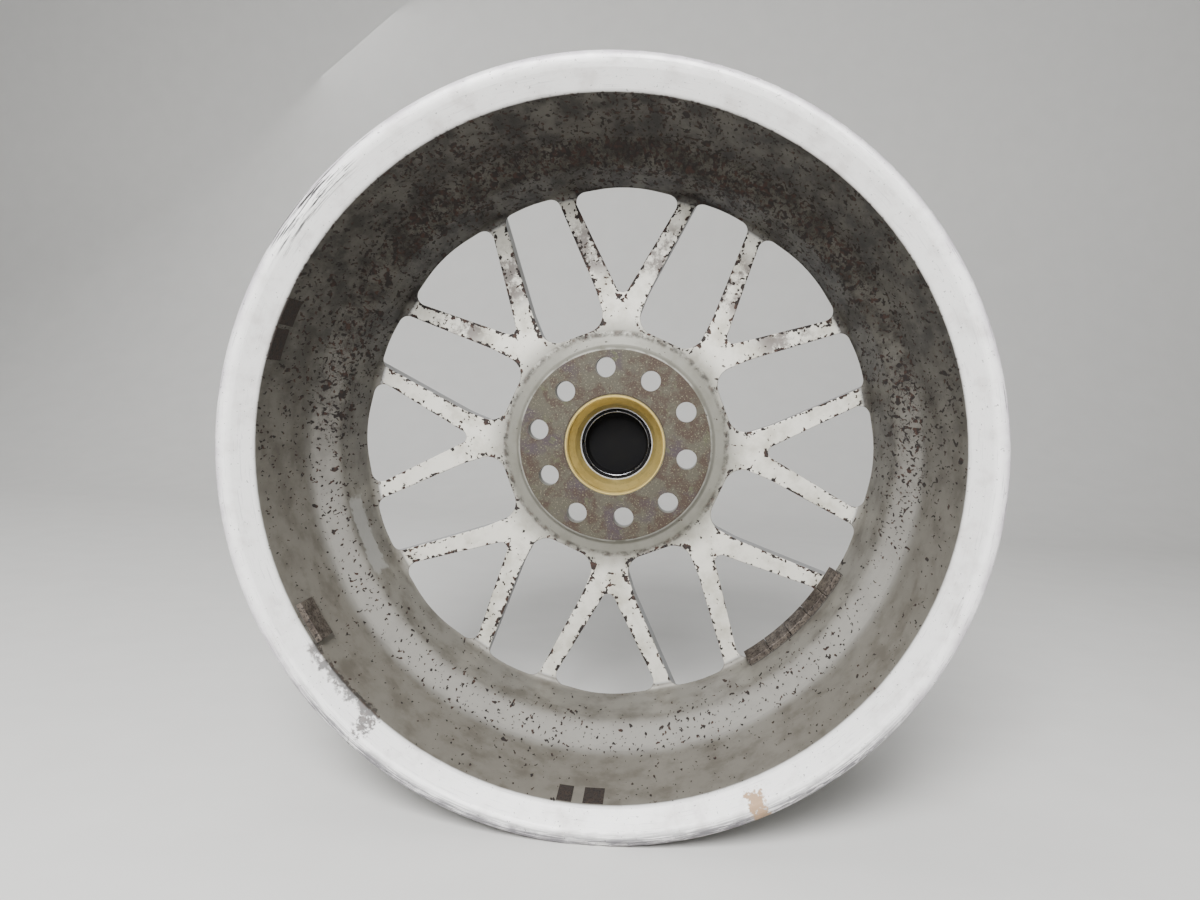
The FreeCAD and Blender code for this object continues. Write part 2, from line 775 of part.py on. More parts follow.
def make_valve_nut():
    """Hexagon nut on the shank."""
    body = new_body("valve_nut")
    sketch = new_sketch(body, "nut_outline", "XZ_Plane")
    low = "valve_wall + 2 * glue_gap + washer_depth"
    sketch.setExpression("AttachmentOffset.Base.z", bound("0 - ( %s )" % low))
    corners = []
    for index in range(HEX_SIDES):
        angle = index * FULL_TURN / HEX_SIDES
        corners.append(("nut_corner * cos ( %g * 1 deg )" % angle,
                        "nut_corner * sin ( %g * 1 deg )" % angle, SHARP))
    outline(sketch, corners)
    circle(sketch, "stem_shank + running_gap")
    doc.recompute()
    pad = body.newObject("PartDesign::Pad", "nut_height")
    pad.Profile = sketch
    pad.Reversed = True
    pad.setExpression("Length", bound("nut_depth"))
    return body


def make_valve_core_body():
    """Threaded insert that holds the spring and guides the pin."""
    return turned_piece("valve_core_body", [
        ("core_bore", "core_start", SHARP),
        ("stem_bore - running_gap", "core_start", SHARP),
        ("stem_bore - running_gap", "core_end", "core_round"),
        ("pin_radius + running_gap", "core_end", SHARP),
        ("pin_radius + running_gap", "core_end - core_guide", SHARP),
        ("core_bore", "core_end - core_guide", SHARP),
    ])


def make_valve_core_seal():
    """Rubber washer on the pin's foot, closing the core from below."""
    high = "core_start - glue_gap"
    return turned_piece("valve_core_seal", ring_corners(
        "pin_radius + glue_gap", "stem_bore - 2 * running_gap", high + " - core_seal_depth", high))


def make_valve_core_pin():
    """Pin with a foot under the seal and a collar over the spring."""
    seal_low = "core_start - glue_gap - core_seal_depth - glue_gap"
    collar = "core_end - core_guide - pin_travel - collar_gap"
    return turned_piece("valve_core_pin", [
        ("0", "pin_start", SHARP),
        ("pin_collar", "pin_start", SHARP),
        ("pin_collar", seal_low, SHARP),
        ("pin_radius", seal_low, SHARP),
        ("pin_radius", collar, SHARP),
        ("pin_collar", collar, SHARP),
        ("pin_collar", collar + " + collar_depth", SHARP),
        ("pin_radius", collar + " + collar_depth", SHARP),
        ("pin_radius", "pin_end", "core_round"),
        ("0", "pin_end", SHARP),
    ])


def make_valve_core_spring():
    """Coil between the core's foot and the pin's collar."""
    low = "( core_start + spring_foot_gap )"
    collar = "( core_end - core_guide - pin_travel - collar_gap )"
    high = "( %s - spring_wire - spring_head_gap )" % collar
    middle = "( ( pin_radius + core_bore ) / 2 )"
    path = doc.addObject("Part::Helix", "spring_path")
    path.setExpression("Pitch", bound("spring_pitch"))
    path.setExpression("Height", bound("%s - %s" % (high, low)))
    path.setExpression("Radius", bound(middle))
    section = doc.addObject("Part::RegularPolygon", "spring_section")
    section.Polygon = WIRE_SIDES
    section.setExpression("Circumradius", bound("spring_wire"))
    section.Placement = Placement(Vector(evaluate(middle), 0, 0), Rotation(Vector(1, 0, 0), 90))
    coil = doc.addObject("Part::Sweep", "valve_core_spring")
    coil.Label = "valve_core_spring"
    coil.Sections = [section]
    coil.Spine = (path, ["Edge1"])
    coil.Solid = True
    coil.Frenet = True
    upright = Placement(Vector(0, evaluate(low), 0), Rotation(Vector(1, 0, 0), -90))
    coil.Placement = upright
    return coil


def make_valve_cap():
    """Screw cap with a grooved grip."""
    bore = "stem_neck + running_gap"
    roof = "valve_cap_end - valve_cap_roof"
    body = turned_piece("valve_cap", [
        (bore, "valve_cap_start", SHARP),
        ("valve_cap_radius", "valve_cap_start", "fine_round"),
        ("valve_cap_radius", "valve_cap_end", "valve_cap_round"),
        ("0", "valve_cap_end", SHARP),
        ("0", roof, SHARP),
        (bore, roof, SHARP),
    ])
    groove = new_sketch(body, "grip_groove")
    outline(groove, ring_corners("valve_cap_radius - valve_cap_groove", "valve_cap_radius + cut_past",
                                 "valve_cap_start + grip_margin", "valve_cap_end - grip_margin"))
    doc.recompute()
    cut = body.newObject("PartDesign::Pocket", "grip_groove_cut")
    cut.Profile = groove
    cut.SideType = "Symmetric"
    cut.setExpression("Length", bound("valve_cap_groove_width"))
    repeat_round(body, [cut], "valve_cap_ribs", "grip_grooves")
    return body


def make_valve_cap_seal():
    """Rubber disc in the cap's roof, on the end of the stem."""
    high = "valve_cap_end - valve_cap_roof - glue_gap"
    return turned_piece("valve_cap_seal", ring_corners(
        "0", "stem_neck - running_gap", high + " - valve_cap_seal", high))


def make_valve():
    makers = (
        make_valve_stem, make_valve_grommet, make_valve_washer, make_valve_nut,
        make_valve_core_body, make_valve_core_seal, make_valve_core_pin,
        make_valve_core_spring, make_valve_cap, make_valve_cap_seal,
    )
    pieces = []
    for maker in makers:
        piece = maker()
        piece.Placement = valve_place().multiply(piece.Placement)
        pieces.append(piece)
    return pieces


# ---- balance weights and old tape ----

def ledge_radius(station):
    """Inner radius of the rim's long ledge at a distance from the inner end."""
    slope = "( %s - %s ) / ( inner_ledge_end - lip_depth )" % (WALL_LIP, WALL_LEDGE)
    return "( %s - ( %s - lip_depth ) * %s )" % (WALL_LIP, station, slope)


def ledge_section(station, width, lift, depth):
    """A flat section lying on the ledge: where it starts and how thick it is."""
    far = "( %s + %s )" % (station, width)
    low = "( %s + %s )" % (INNER_END, station)
    high = "( %s + %s )" % (INNER_END, far)
    near_radius = "( %s - %s )" % (ledge_radius(station), lift)
    far_radius = "( %s - %s )" % (ledge_radius(far), lift)
    return [
        (near_radius, low, SHARP),
        (far_radius, high, SHARP),
        ("( %s - %s )" % (far_radius, depth), high, SHARP),
        ("( %s - %s )" % (near_radius, depth), low, SHARP),
    ]


def curved_strip(label, corners, first_angle, sweep):
    """A strip bent round the axle between two angles."""
    strip = turned_piece(label, corners, "%g" % sweep)
    strip.Placement = Placement(Vector(0, 0, 0), about_axle(first_angle + sweep))
    return strip


def make_weight_strip():
    """A row of stick-on weights at the spokes' roots, on one length of tape."""
    well_place = "( %s + inner_well_start )" % INNER_END
    slope = "( %s - %s ) / ( %s - %s )" % (WALL_WELL, WALL_ROOT, SPOKE_BACK, well_place)
    low = "( %s - strip_start )" % SPOKE_BACK
    high = "( %s - strip_edge_gap )" % SPOKE_BACK
    fillet_start = "( %s - root_fillet )" % SPOKE_BACK
    wall_low = "( %s + strip_start * %s - glue_gap )" % (WALL_ROOT, slope)
    wall_high = "( %s + root_fillet * %s - glue_gap )" % (WALL_ROOT, slope)
    lean = "( ( %s - tape_depth - bead_radius + strip_edge_wall ) / ( %s - %s ) )" % (wall_low, high, low)
    back_low = "( %s - tape_depth )" % wall_low
    back_fillet = "( %s - ( %s - %s ) * %s )" % (back_low, fillet_start, low, lean)
    back_high = "( bead_radius - strip_edge_wall )"
    pieces = [curved_strip("weight_tape", [
        (back_low, low, SHARP),
        (wall_low, low, SHARP),
        (wall_high, fillet_start, SHARP),
        (back_fillet, fillet_start, SHARP),
    ], size("weight_start_angle"), size("weight_sweep") * size("weight_count"))]
    weight_corners = [
        ("( %s - glue_gap )" % back_low, low, SHARP),
        ("( %s - glue_gap )" % back_high, high, "fine_round"),
        ("( %s - glue_gap - weight_depth )" % back_high, high, "weight_round"),
        ("( %s - glue_gap - weight_depth )" % back_low, low, "weight_round"),
    ]
    gap_angle = math.degrees(size("weight_gap") / size("bead_radius"))
    for index in range(int(size("weight_count"))):
        first = size("weight_start_angle") + index * size("weight_sweep")
        label = "strip_weight_%d" % (index + 1)
        pieces.append(curved_strip(label, weight_corners, first, size("weight_sweep") - gap_angle))
    return pieces


def make_block_weight():
    """One larger weight near the inner lip, on its own tape."""
    tape = ledge_section("block_station", "block_width", "glue_gap", "tape_depth")
    lift = "( tape_depth + 2 * glue_gap )"
    block = ledge_section("block_station", "block_width", lift, "weight_depth")
    block[2] = (block[2][0], block[2][1], "weight_round")
    block[3] = (block[3][0], block[3][1], "weight_round")
    first, sweep = size("block_angle"), size("block_sweep")
    return [
        curved_strip("block_weight_tape", tape, first, sweep),
        curved_strip("block_weight", block, first, sweep),
    ]


def make_old_tape():
    """Leftover foam tape where earlier weights came off."""
    pieces = []
    for label, first, sweep, station, width in OLD_TAPE:
        section = ledge_section("%g" % station, "%g" % width, "glue_gap", "old_tape_depth")
        pieces.append(curved_strip(label, section, first, sweep))
    return pieces


# ---- checks and files ----

def check(pieces):
    """Stop if any object failed or any piece isn't a good solid."""
    for item in doc.Objects:
        if "Invalid" in item.State or "Error" in item.State:
            raise RuntimeError("%s failed: %s" % (item.Name, item.State))
    for piece in pieces:
        shape = piece.Shape
        if shape.isNull() or not shape.isValid() or not shape.Solids:
            raise RuntimeError("%s isn't a valid solid" % piece.Label)


def write_parts(pieces):
    os.makedirs("parts", exist_ok=True)
    for piece in pieces:
        piece.Shape.exportStep("parts/%s.step" % piece.Label)


def make_all():
    pieces = [make_wheel(), make_hub_ring(), make_hub_ring_clip()]
    pieces += [make_cap_body(), make_cap_spring_ring(), make_cap_disc()]
    pieces += make_valve()
    pieces += make_weight_strip()
    pieces += make_block_weight()
    pieces += make_old_tape()
    doc.recompute()
    return pieces


all_pieces = make_all()
check(all_pieces)
write_parts(all_pieces)
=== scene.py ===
import json
import math

import bmesh
import bpy
from mathutils import Matrix, Vector


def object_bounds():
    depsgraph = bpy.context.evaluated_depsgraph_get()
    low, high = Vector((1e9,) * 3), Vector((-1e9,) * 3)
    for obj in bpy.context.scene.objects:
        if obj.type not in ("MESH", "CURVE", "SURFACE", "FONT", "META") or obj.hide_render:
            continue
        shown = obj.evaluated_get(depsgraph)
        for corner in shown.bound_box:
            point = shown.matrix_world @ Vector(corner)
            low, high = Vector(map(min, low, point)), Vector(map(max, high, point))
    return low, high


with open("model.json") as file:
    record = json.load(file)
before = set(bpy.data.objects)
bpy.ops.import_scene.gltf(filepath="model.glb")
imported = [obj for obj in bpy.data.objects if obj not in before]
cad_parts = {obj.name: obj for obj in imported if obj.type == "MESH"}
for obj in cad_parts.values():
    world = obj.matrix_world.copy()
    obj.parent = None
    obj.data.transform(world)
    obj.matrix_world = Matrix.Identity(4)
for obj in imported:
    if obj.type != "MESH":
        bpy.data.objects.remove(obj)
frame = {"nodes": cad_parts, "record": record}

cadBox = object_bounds()
mm = 0.001

print("frame loaded:", len(frame["nodes"]), "nodes")


def hexColour(text, alpha=1.0):
    # sRGB hex to the linear values that a shader takes
    levels = [int(text[start:start + 2], 16) / 255 for start in (0, 2, 4)]
    linear = [level / 12.92 if level <= 0.04045 else ((level + 0.055) / 1.055) ** 2.4 for level in levels]
    return (*linear, alpha)


# plain words for nodes: Blender's node, its settings, its sockets in order and the output that is used
nodeWords = {
    "shader": ("BsdfPrincipled", {}, (), None),
    "surface": ("OutputMaterial", {}, ("Surface",), None),
    "coords": ("TexCoord", {}, (), None),
    "split": ("SeparateXYZ", {}, ("Vector",), None),
    "join": ("CombineXYZ", {}, ("X", "Y", "Z"), "Vector"),
    "stretch": ("Mapping", {}, ("Vector", "Scale"), "Vector"),
    "noise": ("TexNoise", {}, ("Vector", "Scale", "Detail", "Roughness", "Distortion"), "Fac"),
    "smooth": ("MapRange", {"interpolation_type": "SMOOTHSTEP"},
               ("Value", "From Min", "From Max", "To Min", "To Max"), "Result"),
    "blend": ("Mix", {"data_type": "RGBA"}, (0, 6, 7), 2),
    "bump": ("Bump", {}, ("Strength", "Distance", "Height"), "Normal"),
}


def addNode(tree, word, *terms):
    # any other word is a sum's operation; a term is a value to set or an output to link
    kind, settings, sockets, output = nodeWords.get(word, ("Math", {"operation": word}, (0, 1, 2), 0))
    node = tree.nodes.new("ShaderNode" + kind)
    for name, value in settings.items():
        setattr(node, name, value)
    for socket, term in zip(sockets, terms):
        if isinstance(term, bpy.types.NodeSocket):
            tree.links.new(term, node.inputs[socket])
        else:
            node.inputs[socket].default_value = term
    return node if output is None else node.outputs[output]


def perMetre(size):
    return 1 / (size * mm)  # a noise's scale from the size of its features in mm


def newMaterial(name):
    material = bpy.data.materials.new(name)
    material.use_nodes = True
    tree = material.node_tree
    tree.nodes.clear()
    shader = addNode(tree, "shader")
    addNode(tree, "surface", shader.outputs["BSDF"])
    return material, tree, shader


def band(tree, source, low, high, soft):
    # one inside a band, nothing outside, with soft ends
    rise = addNode(tree, "smooth", source, low - soft, low + soft)
    fall = addNode(tree, "smooth", source, high - soft, high + soft, 1.0, 0.0)
    return addNode(tree, "MULTIPLY", rise, fall)


def wheelPlaces(tree):
    # object place, radius and axial place in millimetres, angle in degrees
    coords = addNode(tree, "coords")
    place = coords.outputs["Object"]
    split = addNode(tree, "split", place)
    x, y, z = split.outputs
    radius = addNode(tree, "SQRT", addNode(tree, "ADD", addNode(tree, "MULTIPLY", x, x),
                                           addNode(tree, "MULTIPLY", z, z)))
    facing = addNode(tree, "split", coords.outputs["Normal"])
    outward = addNode(tree, "ADD", addNode(tree, "MULTIPLY", facing.outputs[0], x),
                      addNode(tree, "MULTIPLY", facing.outputs[2], z))
    return {
        "place": place,
        "radius": addNode(tree, "MULTIPLY", radius, 1000.0),
        "axial": addNode(tree, "MULTIPLY", y, 1000.0),
        "angle": addNode(tree, "DEGREES", addNode(tree, "ARCTAN2", z, x)),
        "outward": addNode(tree, "DIVIDE", outward, addNode(tree, "MAXIMUM", radius, 0.001)),
        "facing": facing.outputs[1],
    }


wheelLook = {
    "innerEnd": -106.5,       # mm, the inboard edge of the rim
    "spokeBack": 43.5,        # mm, plane of the spokes' backs
    "padPlane": 35.0,         # mm, mounting face
    "padRadius": 73.4,
    "skirtRadius": 86.5,
    "forkRadius": 111.5,      # mm, where a Y parts
    "forkAngle": 28.5,        # degrees
    "waist": 118.0,
    "waistHalf": 26.2,
    "gapAngle": 3.4,
    "gapInner": 88.2,
    "gapCorner": 14.0,
    "windowRadius": 193.0,
    "lipPaint": "EDECEA",
    "barrelPaint": "76736B",
    "barrelDust": "5E5A52",
    # painted shade with dark crust: near black for the barrel's upper inside
    "barrelTopShadeAndCrust": "17120F",
    # painted shade and dust: darker grey-brown for the barrel's ledge
    "ledgeShadeAndDust": "51493F",
    # painted highlight: paler grey for the lit slope of the barrel
    "slopeHighlight": "A2A09B",
    "cleanPatch": "A4A4A1",
    "lipEdge": "B9AFBC",
    "rubbedMetal": "57565A",
    "nick": "4A4646",
    "spokePaint": "CDCAC0",
    "spokeDust": "A9A598",
    # painted shade: darker grey for the skirt and the spokes' roots by the hub
    "skirtShade": "5F5E55",
    "spokeBrown": "3A2C2B",
    "facePaint": "A3A4A7",
    "faceDust": "989795",
    "tyreSidePaint": "8A8985",
    "rust": "1B1513",
    "rustWarm": "38251D",
    "bareMetal": "454136",
    "patina": "382A20",
    "mauveOxide": "3A3034",
    "greenOxide": "464632",
    "paleOxide": "77745F",
    "padEdge": "A3A29A",
    "lipSmudge": "CFCBC8",
    "scuff": "6F6A72",
    "graze": "2C2A2B",
    "chip": "A08468",
    "spokeAngle": 45.0,       # degrees from one Y to the next
    "firstSpoke": 90.0,       # degrees, the Y at the top
    "lipStart": 222.0,        # mm, radius where the lip's flat begins
    "seatRadius": 200.0,      # mm, beyond it is the tyre's side
    "reach": 225.0,           # mm, the height that counts as the top
    "scratchAcross": 1.1,     # scratches a mm, across them
    "scratchRound": 0.16,     # scratches a degree, along them
    "reliefStrength": 0.6,
    "reliefDepth": 0.5,       # mm
}

# marks left by weights and knocks: degrees round the axle, then mm from the inboard edge
wheelMarks = {
    "cleanPatch": {"angle": -157.5, "halfAngle": 8.5, "low": 109.5, "high": 128.5, "size": 6.0, "soft": 0.6},
    "brownRun": {"angle": -136.0, "halfAngle": 8.5, "low": 9.5, "high": 17.0, "size": 5.0, "soft": 0.6},
    "drip": {"angle": -128.7, "halfAngle": 1.3, "low": 1.5, "high": 14.0, "size": 2.5, "soft": 0.3},
    "chip": {"angle": -62.9, "halfAngle": 1.3, "low": -2.0, "high": 7.0, "size": 3.0, "soft": 0.3},
}


def edgeDistance(tree, spot, look):
    # distance in mm outside the nearest window edge, on the spokes' backs
    half = look["spokeAngle"] / 2
    turned = addNode(tree, "ADD", spot["angle"], 360.0 + half - look["firstSpoke"])
    folded = addNode(tree, "SUBTRACT", addNode(tree, "MODULO", turned, look["spokeAngle"]), half)
    side = addNode(tree, "RADIANS", addNode(tree, "ABSOLUTE", folded))
    across = addNode(tree, "MULTIPLY", spot["radius"], addNode(tree, "SINE", side))
    along = addNode(tree, "MULTIPLY", spot["radius"], addNode(tree, "COSINE", side))
    forkAngle = math.radians(look["forkAngle"])
    fork = addNode(tree, "SUBTRACT", addNode(tree, "MULTIPLY", across, math.cos(forkAngle)),
                   addNode(tree, "MULTIPLY", addNode(tree, "SUBTRACT", along, look["forkRadius"]),
                           math.sin(forkAngle)))
    gapSide = addNode(tree, "SUBTRACT", math.radians(half), side)
    gapAcross = addNode(tree, "MULTIPLY", spot["radius"], addNode(tree, "SINE", gapSide))
    gapAlong = addNode(tree, "MULTIPLY", spot["radius"], addNode(tree, "COSINE", gapSide))
    lean = math.tan(math.radians(look["gapAngle"]))
    widened = addNode(tree, "MULTIPLY", addNode(tree, "SUBTRACT", gapAlong, look["waist"]), lean)
    beside = addNode(tree, "ADD", widened, addNode(tree, "SUBTRACT", gapAcross, look["waistHalf"]))
    short = addNode(tree, "SUBTRACT", look["gapInner"], gapAlong)
    bend = look["gapCorner"]
    besideCorner = addNode(tree, "MAXIMUM", addNode(tree, "ADD", beside, bend), 0.0)
    shortCorner = addNode(tree, "MAXIMUM", addNode(tree, "ADD", short, bend), 0.0)
    rounded = addNode(tree, "SQRT", addNode(tree, "ADD", addNode(tree, "MULTIPLY", besideCorner, besideCorner),
                                            addNode(tree, "MULTIPLY", shortCorner, shortCorner)))
    reach = addNode(tree, "SUBTRACT", rounded, bend)
    rim = addNode(tree, "SUBTRACT", spot["radius"], look["windowRadius"])
    nearest = addNode(tree, "MINIMUM", fork, reach)
    return addNode(tree, "MAXIMUM", nearest, rim)


def flecks(tree, place, size, threshold, soft=0.02, detail=2.5):
    # irregular spots where a noise stands above its threshold
    field = addNode(tree, "noise", place, perMetre(size), detail, 0.62, 0.25)
    return addNode(tree, "smooth", addNode(tree, "SUBTRACT", field, threshold), -soft, soft)


def markAt(tree, spot, mark, inner):
    # a patch between two angles and two axial places, with a ragged edge
    waver = addNode(tree, "noise", spot["place"], perMetre(mark["size"]), 3.0, 0.55)
    ragged = addNode(tree, "MULTIPLY", addNode(tree, "SUBTRACT", waver, 0.5), 14.0)
    apart = addNode(tree, "ABSOLUTE", addNode(tree, "SUBTRACT", spot["angle"], mark["angle"]))
    around = addNode(tree, "ADD", apart, addNode(tree, "MULTIPLY", ragged, 0.25))
    half, soft = mark["halfAngle"], mark["soft"]
    within = addNode(tree, "smooth", around, half - soft, half + soft, 1.0, 0.0)
    along = addNode(tree, "ADD", spot["axial"], ragged)
    return addNode(tree, "MULTIPLY", within, band(tree, along, inner + mark["low"], inner + mark["high"], 1.2))


def makeForging(look):
    # forged alloy with worn silver paint: chalky satin, pitted down to brown corrosion
    material, tree, shader = newMaterial("paintedForgedAlloy")
    spot = wheelPlaces(tree)
    place, radius, axial, angle = spot["place"], spot["radius"], spot["axial"], spot["angle"]
    inner = look["innerEnd"]
    inward = addNode(tree, "smooth", spot["outward"], -0.25, 0.1, 1.0, 0.0)
    behindDisc = addNode(tree, "smooth", axial, look["spokeBack"] + 0.4, look["spokeBack"] + 1.2, 1.0, 0.0)
    lip = addNode(tree, "smooth", axial, inner + 11.5, inner + 13.5, 1.0, 0.0)
    inBarrel = addNode(tree, "MULTIPLY", addNode(tree, "smooth", radius, 186.0, 190.0), behindDisc)
    inBarrel = addNode(tree, "MULTIPLY", inBarrel, inward)
    inBarrel = addNode(tree, "MULTIPLY", inBarrel, addNode(tree, "SUBTRACT", 1.0, lip))
    onBack = addNode(tree, "MULTIPLY", behindDisc, addNode(tree, "smooth", radius, 188.0, 191.0, 1.0, 0.0))
    onPad = addNode(tree, "MULTIPLY", addNode(tree, "smooth", radius, look["padRadius"] - 0.6,
                                              look["padRadius"] + 0.2, 1.0, 0.0),
                    addNode(tree, "smooth", axial, look["padPlane"] + 0.4, look["padPlane"] + 0.9, 1.0, 0.0))
    onSkirt = addNode(tree, "MULTIPLY", onBack, addNode(tree, "smooth", radius, look["skirtRadius"] - 1,
                                                        look["skirtRadius"] + 2, 1.0, 0.0))
    front = addNode(tree, "SUBTRACT", 1.0, behindDisc)

    # slow changes of tone from handling and dust
    cloud = addNode(tree, "noise", place, perMetre(70.0), 3.0, 0.55)
    smudge = addNode(tree, "noise", place, perMetre(18.0), 4.0, 0.6)
    grain = addNode(tree, "noise", place, perMetre(0.9), 2.0, 0.55)

    # spots on the barrel, drawn out along the axle; thickest on the slope and by the disc
    drawn = addNode(tree, "stretch", place, (1.0, 0.5, 1.0))
    height = addNode(tree, "DIVIDE", addNode(tree, "MULTIPLY", addNode(tree, "split", place).outputs[2],
                                             1000.0), look["reach"])
    onSlope = band(tree, axial, inner + 76.0, inner + 118.0, 12.0)
    crowd = addNode(tree, "ADD", addNode(tree, "MULTIPLY", onSlope, 0.045),
                    addNode(tree, "MULTIPLY", addNode(tree, "smooth", height, -0.5, 0.9), 0.055))
    crowd = addNode(tree, "ADD", crowd, addNode(tree, "MULTIPLY", addNode(tree, "SUBTRACT", cloud, 0.5), 0.16))
    crowd = addNode(tree, "SUBTRACT", crowd, addNode(tree, "smooth", height, 0.15, -0.45, 0.0, 0.035))
    wide = flecks(tree, drawn, 5.5, addNode(tree, "SUBTRACT", 0.69, crowd), 0.012, 1.5)
    fine = flecks(tree, drawn, 2.6, addNode(tree, "SUBTRACT", 0.655, crowd), 0.015, 1.5)
    veins = addNode(tree, "noise", place, perMetre(6.0), 3.0, 0.6, 0.6)
    veins = addNode(tree, "ABSOLUTE", addNode(tree, "SUBTRACT", veins, 0.5))
    veins = addNode(tree, "MULTIPLY", addNode(tree, "smooth", veins, 0.006, 0.022, 1.0, 0.0),
                    addNode(tree, "smooth", addNode(tree, "ADD", crowd, addNode(tree, "MULTIPLY", smudge, 0.2)),
                            0.16, 0.2))
    barrelSpots = addNode(tree, "MAXIMUM", addNode(tree, "MAXIMUM", wide, fine), veins)
    barrelSpots = addNode(tree, "MULTIPLY", barrelSpots, inBarrel)

    # blisters where the paint lifts along the windows' edges, worst on the upper spokes
    away = edgeDistance(tree, spot, look)
    worse = addNode(tree, "ADD", addNode(tree, "MULTIPLY", addNode(tree, "SUBTRACT", cloud, 0.5), 0.30),
                    addNode(tree, "MULTIPLY", addNode(tree, "smooth", height, -0.1, 0.6), 0.07))
    close = addNode(tree, "ADD", addNode(tree, "smooth", away, 0.4, 3.6, 0.19, 0.0),
                    addNode(tree, "MULTIPLY", worse, addNode(tree, "smooth", away, 2.0, 9.0, 1.0, 0.15)))
    blisters = flecks(tree, place, 3.2, addNode(tree, "SUBTRACT", 0.72, close), 0.015, 1.5)
    outer = addNode(tree, "smooth", radius, 112.0, 175.0, 0.0, 0.05)
    crust = addNode(tree, "ADD", outer, addNode(tree, "MULTIPLY", worse, 0.6))
    scabs = flecks(tree, place, 7.0, addNode(tree, "SUBTRACT", 0.73, crust), 0.015, 4.0)
    spokeSpots = addNode(tree, "MULTIPLY", addNode(tree, "MAXIMUM", blisters, scabs), onBack)
    spokeSpots = addNode(tree, "MULTIPLY", spokeSpots, addNode(tree, "SUBTRACT", 1.0, onPad))
    # painted shade and dirt: a broken dark line of rust colour in the groove at the skirt's edge
    skirtGrooveShadeAndDirt = addNode(tree, "MULTIPLY", band(tree, radius, look["skirtRadius"] - 3.0,
                                               look["skirtRadius"] + 1.0, 1.2), onBack)
    crumbs = addNode(tree, "noise", place, perMetre(7.0), 5.0, 0.7)
    skirtGrooveShadeAndDirt = addNode(tree, "MULTIPLY", skirtGrooveShadeAndDirt, addNode(tree, "smooth", crumbs, 0.4, 0.62))

    # paint colours by zone, with painted shade and a painted highlight among them
    colour = addNode(tree, "blend", addNode(tree, "smooth", smudge, 0.35, 0.7), hexColour(look["facePaint"]),
                     hexColour(look["faceDust"]))
    tyreSide = addNode(tree, "MULTIPLY", addNode(tree, "SUBTRACT", 1.0, inward),
                       addNode(tree, "smooth", radius, look["seatRadius"], look["seatRadius"] + 4.0))
    colour = addNode(tree, "blend", tyreSide, colour, hexColour(look["tyreSidePaint"]))
    barrel = addNode(tree, "blend", addNode(tree, "smooth", smudge, 0.4, 0.7), hexColour(look["barrelPaint"]),
                     hexColour(look["barrelDust"]))
    clearing = addNode(tree, "smooth", addNode(tree, "noise", drawn, perMetre(16.0), 5.0, 0.7), 0.35, 0.62, 1.0,
                       0.55)
    # painted shade and dark corrosion crust: the barrel's inside is painted near black at the top, fading out
    # downwards, broken into patches by the clearing noise
    topShadeAndCrust = addNode(tree, "MULTIPLY", addNode(tree, "smooth", height, -0.55, 0.6, 0.0, 0.98), clearing)
    # painted shade and dust: the ledge band is painted a darker grey-brown in patches
    ledge = band(tree, axial, inner + 13.0, inner + 74.0, 8.0)
    # painted highlight: the slope band is painted paler, most towards the bottom, where the light from above falls on
    # it
    slopeHighlightShare = addNode(tree, "MULTIPLY", band(tree, axial, inner + 78.0, inner + 104.0, 7.0),
                         addNode(tree, "smooth", height, 0.7, -0.3))
    barrel = addNode(tree, "blend", addNode(tree, "MULTIPLY", ledge, addNode(tree, "MULTIPLY", clearing, 0.28)),
                     barrel, hexColour(look["ledgeShadeAndDust"]))
    barrel = addNode(tree, "blend", addNode(tree, "MULTIPLY", slopeHighlightShare, 0.6), barrel,
                     hexColour(look["slopeHighlight"]))
    barrel = addNode(tree, "blend", topShadeAndCrust, barrel, hexColour(look["barrelTopShadeAndCrust"]))
    colour = addNode(tree, "blend", inBarrel, colour, barrel)
    spoke = addNode(tree, "blend", addNode(tree, "smooth", smudge, 0.4, 0.75), hexColour(look["spokePaint"]),
                    hexColour(look["spokeDust"]))
    colour = addNode(tree, "blend", onBack, colour, spoke)
    # painted shade: the skirt and the spokes' roots are painted darker towards the hub, in the corner by the pad's
    # step
    hubFootShade = addNode(tree, "MULTIPLY", addNode(tree, "smooth", radius, 84.0, 106.0, 0.75, 0.0), onBack)
    browned = addNode(tree, "MULTIPLY", band(tree, radius, 132.0, 172.0, 9.0),
                      addNode(tree, "smooth", height, 0.1, 0.4))
    blotches = addNode(tree, "noise", place, perMetre(20.0), 6.0, 0.75)
    browned = addNode(tree, "MULTIPLY", browned, addNode(tree, "smooth", blotches, 0.42, 0.56))
    colour = addNode(tree, "blend", addNode(tree, "MULTIPLY", addNode(tree, "MULTIPLY", browned, 0.8), onBack),
                     colour, hexColour(look["spokeBrown"]))
    colour = addNode(tree, "blend", addNode(tree, "MAXIMUM", addNode(tree, "MULTIPLY", onSkirt, 0.8), hubFootShade),
                     colour, hexColour(look["skirtShade"]))
    lipTone = addNode(tree, "blend", addNode(tree, "smooth", smudge, 0.45, 0.8), hexColour(look["lipPaint"]),
                      hexColour(look["lipSmudge"]))
    lipShare = addNode(tree, "MULTIPLY", lip, addNode(tree, "smooth", radius, look["lipStart"],
                                                      look["lipStart"] + 2.0))
    colour = addNode(tree, "blend", lipShare, colour, lipTone)

    # hub pad: machined metal with golden brown staining and pale oxide
    stain = addNode(tree, "noise", place, perMetre(15.0), 6.0, 0.7, 0.4)
    pad = addNode(tree, "blend", addNode(tree, "smooth", stain, 0.42, 0.6), hexColour(look["bareMetal"]),
                  hexColour(look["patina"]))
